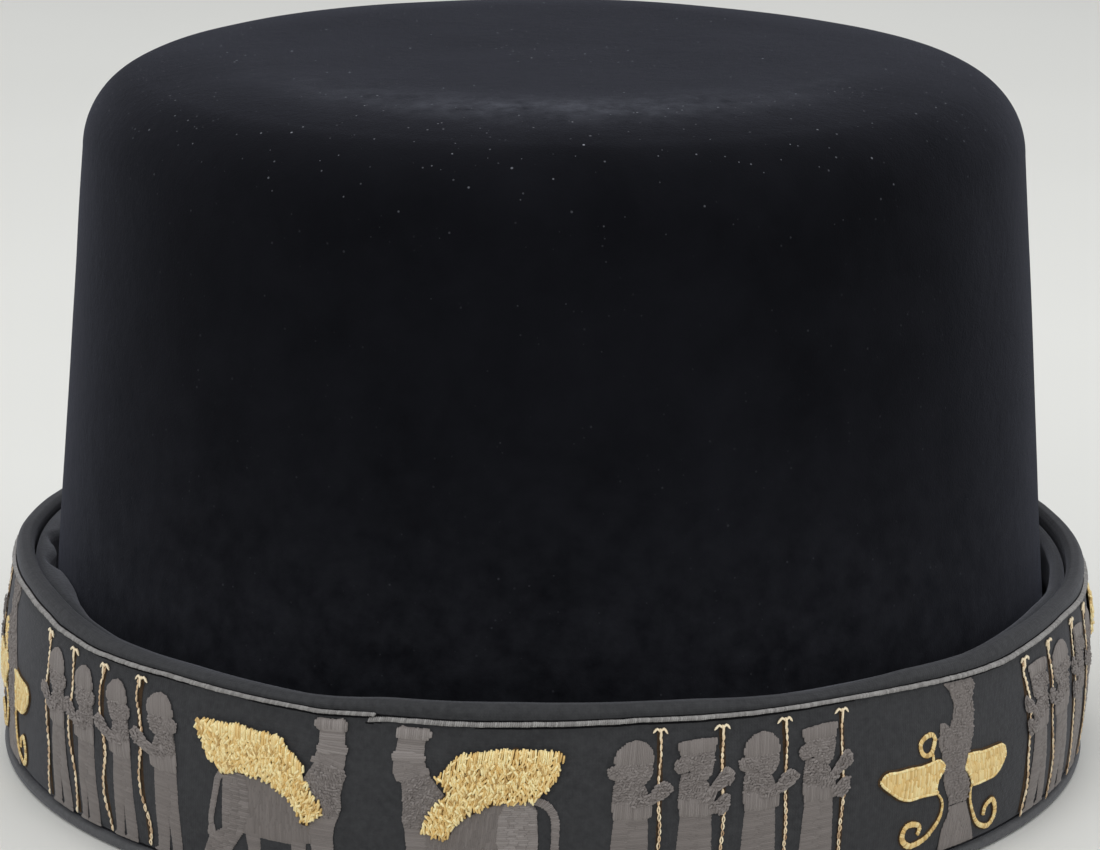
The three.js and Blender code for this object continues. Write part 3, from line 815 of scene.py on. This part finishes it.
# Of these a repeat's left and right beasts, -1 and 1, have their own
BEAST_MANE = {
    -1: [(4.4, 22.8), (3.9, 21.9), (4.4, 20.6), (4.7, 18.8), (4.5, 16.8), (5.0, 14.7),
         (9.0, 14.7), (10.3, 18.0), (11.2, 20.6), (10.0, 22.6), (9.2, 24.0)],
    1: [(5.6, 22.4), (6.0, 20.8), (6.2, 18.8), (6.3, 16.9), (6.2, 16.0), (6.6, 14.7),
        (9.5, 14.9), (10.9, 17.8), (12.6, 20.4), (10.8, 22.4), (9.6, 23.9)]}
BEAST_CHEST = {
    -1: [(4.9, 15.4), (5.6, 13.2), (5.7, 11.4), (5.5, 8.5), (5.8, 2.8), (8.9, 2.8),
         (8.8, 6.4), (9.4, 10.5), (10.2, 14.4), (9.0, 15.4)],
    1: [(6.6, 15.4), (6.9, 12.7), (7.1, 11.4), (6.8, 8.5), (6.9, 2.8), (9.6, 2.8),
        (9.5, 6.4), (10.0, 10.5), (10.4, 14.6), (9.2, 15.6)]}
BEAST_BODY = [(9.4, 14.6), (12.0, 15.8), (15.5, 18.2), (19.5, 19.9), (24.0, 20.3), (26.4, 19.7),
              (27.6, 18.1), (28.1, 16.7), (28.5, 12.6), (27.9, 9.9), (24.6, 9.8), (20.5, 9.7),
              (17.0, 9.5), (13.2, 9.5), (9.6, 10.2)]
BEAST_HAUNCH = [(21.6, 17.0), (22.6, 19.6), (25.2, 19.7), (27.4, 18.2), (28.4, 13.4), (28.2, 9.6),
                (29.8, 7.9), (31.4, 5.0), (31.2, 2.8), (27.4, 2.8), (25.0, 6.4), (22.6, 9.6),
                (21.4, 13.2)]
BEAST_FORELEG = [(10.6, 10.2), (13.2, 10.0), (12.4, 6.6), (12.6, 2.8), (10.1, 2.8), (10.4, 6.6)]
BEAST_HINDLEG = [(19.2, 10.0), (21.9, 10.0), (21.2, 7.0), (21.2, 2.8), (18.7, 2.8), (19.1, 7.0)]
BEAST_TAIL = {
    -1: [(26.6, 18.9), (27.9, 18.1), (28.4, 15.8), (28.9, 13.6), (29.5, 10.9), (29.3, 9.6)],
    1: [(26.4, 20.1), (28.6, 19.4), (29.8, 18.3), (30.5, 16.7), (30.6, 14.0), (30.6, 10.0)]}
BEAST_TUFT = {
    -1: [(28.7, 9.8), (29.9, 9.8), (30.3, 8.4), (29.4, 7.2), (28.5, 8.2)],
    1: [(30.0, 10.2), (31.1, 10.2), (31.5, 8.6), (30.7, 7.4), (29.8, 8.4)]}

# The gold wings of a repeat's two beasts, which were sewn a little differently
WING = {
    -1: [(32.9, 25.3), (32.6, 26.1), (31.2, 26.7), (29.4, 26.7), (27.6, 26.7), (26.1, 26.9),
         (24.4, 27.2), (22.9, 27.0), (21.6, 26.7), (19.9, 26.8), (18.5, 26.7), (16.6, 26.6),
         (15.6, 26.3), (15.0, 25.5), (14.4, 24.8), (13.3, 24.2), (12.3, 23.4), (11.1, 22.5),
         (11.5, 22.0), (11.3, 20.6), (10.2, 19.7), (10.1, 18.8), (9.1, 17.8), (8.1, 17.0),
         (7.3, 15.4), (8.1, 14.9), (9.1, 14.4), (10.2, 13.3), (11.1, 13.6), (11.2, 14.6),
         (11.9, 15.0), (12.9, 16.4), (14.3, 17.7), (15.3, 18.0), (16.7, 18.7), (17.9, 19.4),
         (19.6, 19.7), (20.8, 19.6), (22.0, 19.8), (23.7, 19.9), (25.2, 19.5), (26.5, 19.0),
         (27.5, 19.3), (27.8, 20.1), (28.4, 20.6), (29.5, 20.9), (30.4, 21.5), (30.6, 22.3),
         (31.5, 23.3), (32.0, 24.2)],
    1: [(14.3, 26.5), (15.4, 27.0), (17.4, 27.3), (19.8, 27.5), (21.8, 27.8), (23.8, 27.9),
        (25.8, 27.8), (27.8, 27.7), (29.7, 27.5), (31.0, 27.3), (31.6, 26.3), (30.8, 25.7),
        (30.9, 24.1), (30.2, 23.2), (29.5, 22.5), (29.0, 21.5), (28.0, 21.1), (26.9, 19.8),
        (25.3, 19.9), (23.6, 19.6), (21.6, 19.6), (20.0, 19.4), (18.9, 18.6), (17.3, 17.9),
        (15.9, 17.0), (15.0, 16.1), (14.2, 15.1), (13.7, 13.7), (12.6, 13.6), (11.2, 14.0),
        (10.2, 14.2), (9.2, 14.3), (9.5, 15.3), (10.2, 16.4), (10.7, 17.8), (11.7, 19.1),
        (12.7, 19.9), (13.2, 20.6), (12.9, 21.7), (12.0, 22.4), (11.3, 23.1), (12.3, 24.1),
        (13.1, 25.1)]}
WING_TOP = {
    -1: [(15.6, 26.4), (18.5, 26.8), (21.6, 26.8), (24.4, 27.3), (27.6, 26.8), (29.4, 26.8),
         (29.4, 25.2), (26.0, 25.2), (22.5, 25.0), (19.0, 24.9), (16.0, 24.2), (14.2, 22.6),
         (12.8, 21.4), (11.4, 21.8), (11.2, 22.6), (13.3, 24.3), (14.4, 24.9)],
    1: [(13.1, 25.1), (14.3, 26.6), (17.4, 27.4), (21.8, 27.9), (25.8, 27.9), (29.7, 27.6),
        (31.2, 27.3), (31.4, 26.3), (29.8, 25.8), (26.0, 26.1), (22.0, 26.1), (18.0, 25.7),
        (15.6, 25.3), (14.4, 24.2), (13.4, 23.0), (12.2, 22.6), (11.5, 23.1)]}

EMBLEM_BODY = [(-3.7, 31.0), (-2.4, 29.9), (-2.0, 28.7), (-1.5, 27.7), (-1.5, 26.7), (-2.1, 25.6),
               (-2.5, 24.6), (-3.5, 23.5), (-3.7, 24.1), (-4.5, 24.6), (-5.5, 24.7), (-5.8, 23.7),
               (-5.8, 22.7), (-6.4, 22.4), (-6.3, 21.2), (-5.7, 19.9), (-5.7, 18.9), (-5.5, 17.3),
               (-5.4, 16.1), (-5.2, 14.5), (-4.5, 13.1), (-3.8, 12.1), (-3.5, 10.7), (1.2, 10.7),
               (1.6, 12.3), (1.3, 13.9), (0.6, 15.4), (0.1, 16.7), (0.8, 18.1), (1.6, 19.3),
               (2.1, 20.7), (2.7, 22.1), (2.9, 23.5), (3.3, 24.9), (3.4, 26.0), (3.2, 27.2),
               (3.5, 28.4), (4.2, 30.0), (3.7, 30.9)]
EMBLEM_SKIRT = [(-3.4, 10.2), (-3.3, 9.5), (-3.7, 8.2), (-4.4, 7.1), (-4.7, 5.5), (-4.9, 2.9),
                (4.7, 2.9), (3.8, 5.2), (3.1, 6.7), (2.0, 8.5), (1.2, 10.2)]
EMBLEM_LEFT = [(-19.8, 17.4), (-19.2, 18.2), (-18.2, 18.6), (-16.1, 18.5), (-13.6, 18.6),
               (-10.9, 18.5), (-9.0, 18.7), (-7.2, 18.9), (-6.4, 18.7), (-5.7, 17.9), (-5.9, 17.2),
               (-6.6, 16.5), (-7.2, 15.7), (-7.5, 14.8), (-7.6, 14.1), (-7.1, 13.5), (-8.5, 13.5),
               (-10.9, 13.6), (-13.8, 13.5), (-15.7, 14.1), (-17.1, 15.0), (-18.3, 15.9),
               (-19.4, 16.8)]
EMBLEM_RIGHT = [(1.0, 18.5), (3.1, 18.4), (5.3, 18.1), (9.1, 18.1), (11.1, 18.0), (11.8, 17.2),
                (12.0, 16.0), (11.4, 15.1), (10.5, 14.1), (9.5, 13.5), (8.3, 13.1), (6.4, 13.0),
                (3.3, 12.9), (2.3, 13.2), (1.6, 14.6), (0.8, 15.6), (0.1, 16.3), (0.5, 17.4)]
EMBLEM_RING = [(-7.3, 22.5), (-7.7, 23.3), (-8.8, 23.4), (-10.2, 22.9), (-10.9, 22.1),
               (-10.7, 20.9), (-9.9, 20.2), (-8.8, 20.2), (-8.0, 21.0)]
EMBLEM_STEM = [(-8.2, 20.3), (-8.1, 19.5), (-8.2, 18.6)]
SCROLL_LEFT = [(-7.1, 13.4), (-6.2, 12.6), (-5.6, 11.7), (-5.4, 10.8), (-5.6, 9.4), (-6.3, 8.2),
               (-7.5, 7.0), (-8.9, 6.0), (-11.0, 5.4), (-12.8, 5.4), (-14.3, 6.6), (-14.4, 8.1),
               (-13.6, 9.0), (-12.1, 9.0), (-10.8, 8.5), (-10.7, 7.7), (-11.0, 7.0)]
SCROLL_RIGHT = [(2.3, 13.0), (2.0, 11.8), (2.2, 10.5), (2.8, 9.1), (3.8, 7.4), (5.1, 5.8),
                (6.6, 4.8), (8.8, 4.1), (10.1, 4.6), (10.8, 5.6), (10.6, 7.2), (9.6, 8.6),
                (8.4, 8.6), (7.2, 7.9), (7.0, 6.6)]


def sew_bearer(name, centre, side, flat, node, slim):
    s = Stitching()
    s.slim = slim
    for outline in (BACK_LEG, FRONT_LEG):
        s.fill(outline, 3, length=3.0, tone=0.4)
    s.fill(ROBE, 2, length=2.7, tone=0.38)
    for outline in (BACK_SHOE, FRONT_SHOE):
        s.fill(outline, 0, tone=0.42)
    s.fill(BREAST, 35, base=0.1, tone=0.42)
    s.seed(BREAST, 20, 60, size=0.68, pitch=0.44, rise=0.44, base=0.16, height=0.22,
           half=0.17, tone=0.56, spread=0.22)
    s.fill(CAPE, 88, length=2.8, base=0.16, height=0.3, tone=0.58, spread=0.14)
    head = FLAT_HEAD if flat else ROUND_HEAD
    s.fill(head, 20, length=1.5, base=0.14, tone=0.5)
    s.seed(head, 10, 50, size=0.66, pitch=0.5, rise=0.45, base=0.18, height=0.2,
           half=0.17, tone=0.58, spread=0.2)
    bun = FLAT_BUN if flat else ROUND_BUN
    s.fill(bun, 55, length=1.3, base=0.24, tone=0.5)
    s.seed(bun, 30, 80, size=0.6, pitch=0.45, rise=0.4, base=0.28, height=0.18,
           half=0.17, tone=0.56, spread=0.12)
    if flat:
        s.fill(FLAT_CAP, 90, length=2.6, base=0.24, height=0.3, tone=0.54)
    else:
        s.fill(ROUND_CAP, 86, length=4.2, base=0.22, height=0.3, tone=0.54)
    s.build(name, centre, side, grey_thread, [node])


def sew_spear(name, centre, side, flat, wave):
    """A chain stitched spear with a small hooked head, the hands sewn over it."""
    s = Stitching()
    x0 = 4.5
    top = 30.0
    sway = rng.random() * 6
    z = top
    while z > 3.2:
        low = z < 19
        size = (1.15 if low else 0.95) + 0.3 * rng.random()
        x = x0 + wave * math.sin(z * 0.42 + sway) + 0.12 * (rng.random() - 0.5)
        wide = (0.17 if low else 0.08) + 0.06 * rng.random()
        for way in (-1, 1):
            skew = 0.1 * (rng.random() - 0.5)
            bend = [(x + skew, z, 0.22), (x + way * wide, z - 0.5 * size, 0.34),
                    (x - skew, z - size, 0.22)]
            s.tube(curve_through(bend, 0.4), 0.11 + 0.03 * rng.random(),
                   0.55 + 0.9 * (rng.random() - 0.5))
        z -= size * 0.86
    for way in (-1, 1):
        reach = 1.25 + 0.3 * rng.random()
        drop = 0.5 + 0.25 * rng.random()
        path = curve_through([(x0, top - 0.1, 0.3), (x0 + way * 0.45 * reach, top + 0.45, 0.42),
                              (x0 + way * reach, top + 0.3 - drop, 0.26)], 0.3)
        s.tube(path, 0.22, 0.78 + 0.2 * rng.random())
    s.tube(curve_through([(x0 - 0.1, top + 0.5, 0.4), (x0 + 0.1, top, 0.45),
                          (x0, top - 1.4, 0.36)], 0.3), 0.22, 0.8)
    s.build(f"{name}_chain", centre, side, pale_gold_thread, [])
    ground = Stitching()
    ground.satin([(x0, top), (x0 + 0.1, 16), (x0, 3.2)], [1.0, 0.95], 0.5, base=0.0,
                 height=0.1, tone=0.4, slant=0.0, half=0.4)
    ground.build(f"{name}_ground", centre, side, brown_ground, [])
    hands = Stitching()
    for outline, way in ((HIGH_ARM, 50), (LOW_HAND, 40)) if flat else ((ARM, 25),):
        hands.fill(outline, way, 0.34, 1.6, base=0.3, tone=0.52, spread=0.14)
        hands.seed(outline, way, 50, size=0.75, pitch=0.5, rise=0.5, base=0.42,
                   height=0.22, half=0.18, tone=0.58, spread=0.2)
    hands.build(f"{name}_hands", centre, side, grey_thread, [])


def sew_beast(name, centre, side, node, variant):
    s = Stitching()
    rump = 26.6 if variant < 0 else 27.6
    body = [(min(x, rump) if z > 9.6 else x, z) for x, z in BEAST_BODY]
    haunch = [(min(x, rump + 0.2) if z > 9.5 else x, z) for x, z in BEAST_HAUNCH]
    s.fill(BEAST_FORELEG, 2, length=2.6, tone=0.38)
    s.fill(BEAST_HINDLEG, 2, length=2.6, tone=0.38)
    s.fill(body, 86, length=2.8, tone=0.34)
    haunch_tone = 0.44 if variant < 0 else 0.76
    s.fill(haunch, 2, 0.36, 1.6, base=0.12, height=0.3, tone=haunch_tone, spread=0.2)
    s.fill(BEAST_CHEST[variant], 2, length=3.4, base=0.1, tone=0.48)
    s.fill(BEAST_MANE[variant], 35, length=1.8, base=0.14, tone=0.44)
    s.seed(BEAST_MANE[variant], 40, 50, size=0.7, pitch=0.5, rise=0.45, base=0.18,
           height=0.22, half=0.18, tone=0.54, spread=0.22)
    s.fill(BEAST_HEAD, 15, length=1.6, base=0.2, tone=0.5)
    s.fill(BEAST_EAR, 0, length=1.4, base=0.3, tone=0.55)
    s.fill(BEAST_HAT, 0, 0.36, 4.6, base=0.16, height=0.3, tone=0.6, spread=0.2)
    s.fill(BEAST_BAND, 4, 0.36, 5.4, base=0.3, height=0.3, tone=0.68, spread=0.18)
    s.fill(BEAST_CROWN, 88, 0.36, 2.4, base=0.28, height=0.4, tone=0.8, spread=0.2)
    s.satin(BEAST_TAIL[variant], [1.35, 1.25], 0.28, base=0.14, tone=0.62)
    s.fill(BEAST_TUFT[variant], 80, length=1.6, base=0.14, tone=0.58)
    s.build(name, centre, side, grey_thread, [node])


def sew_wing(name, centre, side, node, variant):
    """A gold wing of short raised stitches over a brown ground, with a combed upper edge."""
    outline = WING[variant]
    ground = Stitching()
    ground.fill(outline, 0, 0.7, 3.0, base=0.40, height=0.14, tone=0.5, half=0.5, ragged=0.0)
    ground.build(f"{name}_ground", centre, side, brown_ground, [])

    def fan(x, z):
        # Feathers stand nearly upright at the tip and slant back near the breast
        return 88 + 40 * np.clip((16 - x) / 8, 0, 1) * (1 if z < 21 else 0.3)

    s = Stitching()
    s.seed(outline, 90, 42, size=1.35, pitch=0.38, rise=0.64, base=0.5, height=0.42,
           half=0.2, tone=0.63, spread=0.4, leave=WING_TOP[variant], fan=fan)
    s.fill(WING_TOP[variant], 84, 0.33, 1.9, base=0.62, height=0.46, tone=0.68, half=0.19,
           ragged=0.35, spread=0.34, lean=0.3)
    # A sparse top layer of pale stitches is a painted highlight, standing for glints on the gold
    # thread.
    s.seed(outline, 90, 60, size=0.9, pitch=1.1, rise=1.1, base=0.8, height=0.36,
           half=0.2, tone=0.84, spread=0.16, fan=fan)
    s.build(name, centre, side, gold_thread, [node])


def sew_emblem(name, centre, nodes):
    s = Stitching()
    s.fill(EMBLEM_BODY, 82, length=2.2, base=0.14, tone=0.44)
    s.seed(EMBLEM_BODY, 30, 50, size=0.7, pitch=0.5, rise=0.5, base=0.18, height=0.18,
           half=0.17, tone=0.5, spread=0.12)
    s.fill(EMBLEM_SKIRT, 86, length=2.8, base=0.1, tone=0.5)
    s.build(f"{name}_body", centre, 1, grey_thread, [nodes[0]])
    for outline, node, way in ((EMBLEM_LEFT, nodes[1], 84), (EMBLEM_RIGHT, nodes[2], 96)):
        edge = outline + [outline[0]]
        rim = Stitching()
        rim.satin(edge, [1.0], 0.3, base=0.02, height=0.2, tone=0.7)
        wing = Stitching()
        wing.fill(outline, way, 0.32, 1.7, base=0.22, height=0.34, tone=0.64, spread=0.26,
                  half=0.2)
        wing.satin(edge, [0.45], 0.32, base=0.42, height=0.28, tone=0.72, spread=0.3)
        if node == nodes[1]:
            lines = ((EMBLEM_RING + [EMBLEM_RING[0]], [0.8]), (EMBLEM_STEM, [0.5]),
                     (SCROLL_LEFT, [0.35, 0.45, 0.85, 1.0, 1.0, 0.95, 0.8]))
        else:
            lines = ((SCROLL_RIGHT, [0.35, 0.5, 0.8, 0.95, 0.95, 0.8]),)
        for line, widths in lines:
            wing.satin(line, widths, 0.3, base=0.2, tone=0.55, spread=0.3)
            rim.satin(line, [w + 0.45 for w in widths], 0.3, base=0.02, height=0.14, tone=0.6)
        label = "left" if node == nodes[1] else "right"
        rim.build(f"{name}_{label}_rim", centre, 1, brown_ground, [])
        wing.build(f"{name}_{label}", centre, 1, gold_thread, [node])


def sew_cord():
    """The couched cord: close slanting stitches across a line, its two ends a step apart."""
    s = Stitching()
    shade = Stitching()
    overlap = 1.0
    run = BAND_LENGTH + overlap
    pitch = 0.36
    count = int(run / pitch)
    for i in range(count):
        start = run * i / count
        along = -JOINT_FROM_FRONT - 0.5 * overlap + start
        step = -0.55 * math.exp(-start / 2.5) + 0.42 * math.exp((start - run) / 5)
        sway = 0.07 * noise.noise(Vector((along / 3.2, 8.1, 0)))
        z = CORD_HEIGHT - 0.15 + step + sway
        half = 0.36 + 0.06 * noise.noise(Vector((along / 1.6, 1.7, 4.0)))
        half += 0.04 * (rng.random() - 0.5)
        s.stitch(along - 0.13, z - half, along + 0.13, z + half, 0.27, 0.12,
                 0.62 + 0.16 * rng.random(), 0.62 + either_way(0.26))
        # Every fourth stitch also lays two dark lines, just below and just above the cord: painted
        # shadow of the groove that the cord sits in.
        if i % 4 == 0:
            shade.stitch(along - 0.9, z - 0.62, along + 0.9, z - 0.62, 0.2, 0.0, 0.05, 0.2)
            shade.stitch(along - 0.9, z + 0.5, along + 0.9, z + 0.5, 0.12, 0.0, 0.05, 0.3)
    s.build("couched_cord", 0.0, 1, cord_thread, ["border_cord"], lean=False)
    shade.build("cord_painted_shadow", 0.0, 1, painted_shadow_thread, [], lean=False)


def sew_frieze():
    places = [0.395, 0.497, 0.601, 0.702]
    bearer = 0
    beast = 0
    for side in (-1, 1):
        for repeat in range(REPEATS):
            away = repeat % 2 == 0
            facing = side if away else -side
            mirror = repeat if away else repeat + 1
            beast += 1
            centre = place_along(side, mirror)
            node = f"winged_beast_{beast}"
            sew_beast(f"beast_{beast}_sewn", centre, facing, node, facing)
            sew_wing(f"beast_{beast}_wing", centre, facing, f"gold_wing_{beast}", facing)
            for index, place in enumerate(places):
                bearer += 1
                halves = repeat + place if away else repeat + 1 - place
                centre = place_along(side, halves)
                near_left = side < 0 and repeat == 0
                flat = not near_left and index % 2 == 1
                slim = (0.82, 0.86, 0.93, 0.97)[index] if near_left else 1.0
                name = f"bearer_{bearer}"
                node = f"spear_bearer_{bearer}"
                sew_bearer(f"{name}_sewn", centre, facing, flat, node, slim)
                wave = 0.65 if near_left else 0.45 if side > 0 and repeat == 1 else 0.2
                sew_spear(name, centre, facing, flat, wave)
    for index, (side, halves) in enumerate(((-1, 1), (1, 1), (1, 3)), start=1):
        nodes = [f"emblem_{index}_{part}" for part in ("figure", "left_wing", "right_wing")]
        sew_emblem(f"emblem_{index}", place_along(side, halves), nodes)


build_crown()
build_panel()
build_binding()
build_facing()
build_welt()
sew_cord()
sew_frieze()


# Plain pale floor, soft light and the photo's point of view

def build_floor():
    n = Nodes("pale_floor")
    cloud = n.noise(3, 2, 0.5)
    colour = n.mix(n.ramp(cloud, 0.3, 0.7), (0.74, 0.74, 0.71), (0.78, 0.78, 0.75))
    material = n.finish(colour, Roughness=0.55, Specular_IOR_Level=0.3)
    mesh = bpy.data.meshes.new("floor")
    size = 6.0
    corners = [(-size, -size, 0), (size, -size, 0), (size, size, 0), (-size, size, 0)]
    mesh.from_pydata(corners, [], [(0, 1, 2, 3)])
    mesh.materials.append(material)
    floor = bpy.data.objects.new("floor", mesh)
    bpy.context.collection.objects.link(floor)


def add_light(name, place, target, size, power):
    light = bpy.data.lights.new(name, "AREA")
    light.shape = "RECTANGLE"
    light.size, light.size_y = size
    light.energy = power
    lamp = bpy.data.objects.new(name, light)
    lamp.location = place
    direction = Vector(target) - Vector(place)
    lamp.rotation_euler = direction.to_track_quat("-Z", "Y").to_euler()
    bpy.context.collection.objects.link(lamp)


# The photo's camera, fitted to the crown, the cord and the lower edge: its distance from a
# point on the cap, in metres, its angles in radians, and its lens for the photo's pixels
AIM = (-0.0003, 0.05685)
PHOTO_WIDTH = 1100
FOCAL_PIXELS = 4758.5
SENSOR_WIDTH = 36


def add_camera():
    reach, rise = 0.8501, 0.2214
    pitch, roll = 0.2232, 0.0091
    look = Vector((0, math.cos(pitch), -math.sin(pitch)))
    right = Vector((1, 0, 0))
    up = right.cross(look)
    turned_right = right * math.cos(roll) + up * math.sin(roll)
    turned_up = up * math.cos(roll) - right * math.sin(roll)
    axes = Matrix((turned_right, turned_up, -look)).transposed()
    place = Vector((AIM[0], -reach * math.cos(rise), AIM[1] + reach * math.sin(rise)))
    data = bpy.data.cameras.new("camera")
    data.sensor_fit = "HORIZONTAL"
    data.sensor_width = SENSOR_WIDTH
    data.lens = FOCAL_PIXELS / PHOTO_WIDTH * SENSOR_WIDTH
    data.clip_start = 0.01
    camera = bpy.data.objects.new("camera", data)
    camera.matrix_world = Matrix.Translation(place) @ axes.to_4x4()
    bpy.context.collection.objects.link(camera)
    bpy.context.scene.camera = camera


build_floor()
add_camera()
add_light("overhead", (0.0, 0.15, 1.5), (0, 0, 0.05), (1.6, 1.2), 13)
add_light("front", (-0.5, -1.4, 0.9), (0, 0, 0.03), (1.2, 0.8), 6)
add_light("right", (1.5, -0.3, 0.7), (0, 0, 0.05), (1.0, 0.8), 5)
add_light("left", (-1.5, 0.2, 0.7), (0, 0, 0.05), (1.0, 0.8), 1.8)

world = bpy.data.worlds.new("studio")
world.use_nodes = True
world.node_tree.nodes["Background"].inputs[0].default_value = (0.86, 0.87, 0.88, 1)
world.node_tree.nodes["Background"].inputs[1].default_value = 0.55
bpy.context.scene.world = world
bpy.context.scene.view_settings.view_transform = "Standard"
